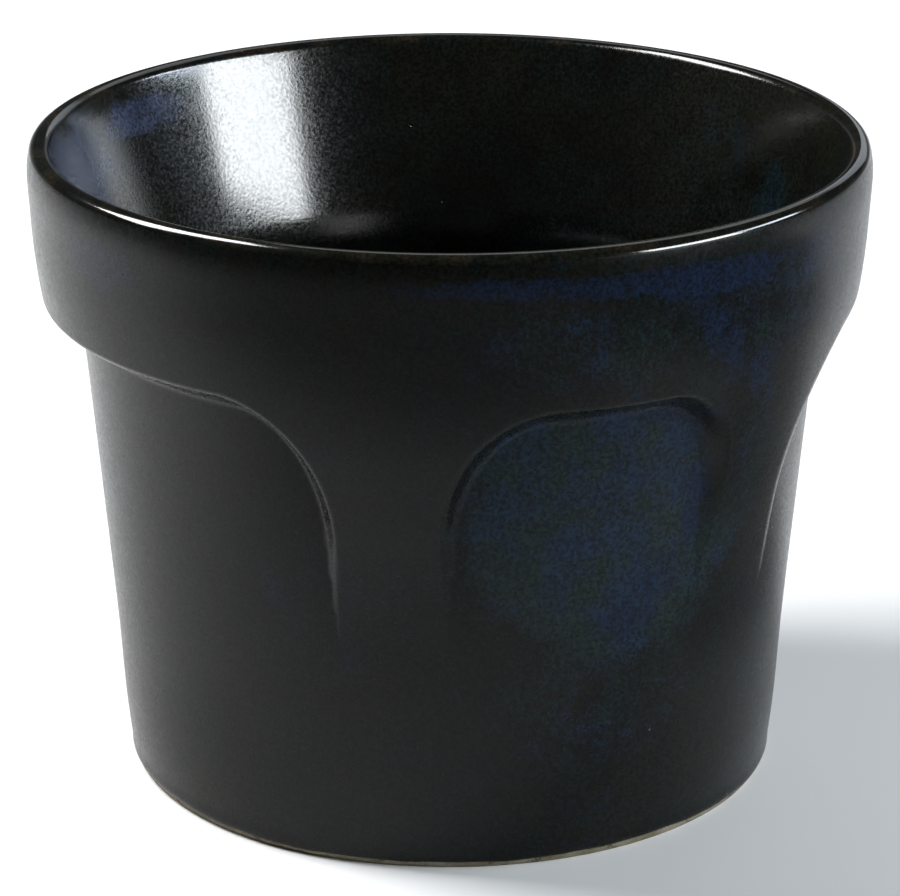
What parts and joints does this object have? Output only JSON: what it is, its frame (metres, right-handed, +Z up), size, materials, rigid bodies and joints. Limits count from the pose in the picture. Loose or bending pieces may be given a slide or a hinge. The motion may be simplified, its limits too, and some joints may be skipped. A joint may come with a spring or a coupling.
{
  "type": "ceramic tumbler",
  "caption": "Squat ceramic tumbler with a stout collar, ribs that sweep down from it between arched panels, dark mottled glaze and a bare clay foot.",
  "frame": {"origin": "centre of the foot ring, on the plane the tumbler stands on", "axes": "+Z up along the axis of the pot; the narrow panels face -Y and +Y, the wide panels face -X and +X"},
  "size_m": [0.096, 0.096, 0.074],
  "materials": {
    "bare_clay": "bare fired clay, buff",
    "outer_glaze": "satin charcoal glaze mottled with slate blue",
    "inner_glaze": "glossy charcoal glaze",
    "base_glaze": "charcoal glaze"
  },
  "bodies": {
    "root": {"clay_body": "bare_clay", "outer_glaze": "outer_glaze", "inner_glaze": "inner_glaze", "base_glaze": "base_glaze"}
  },
  "joints": []
}
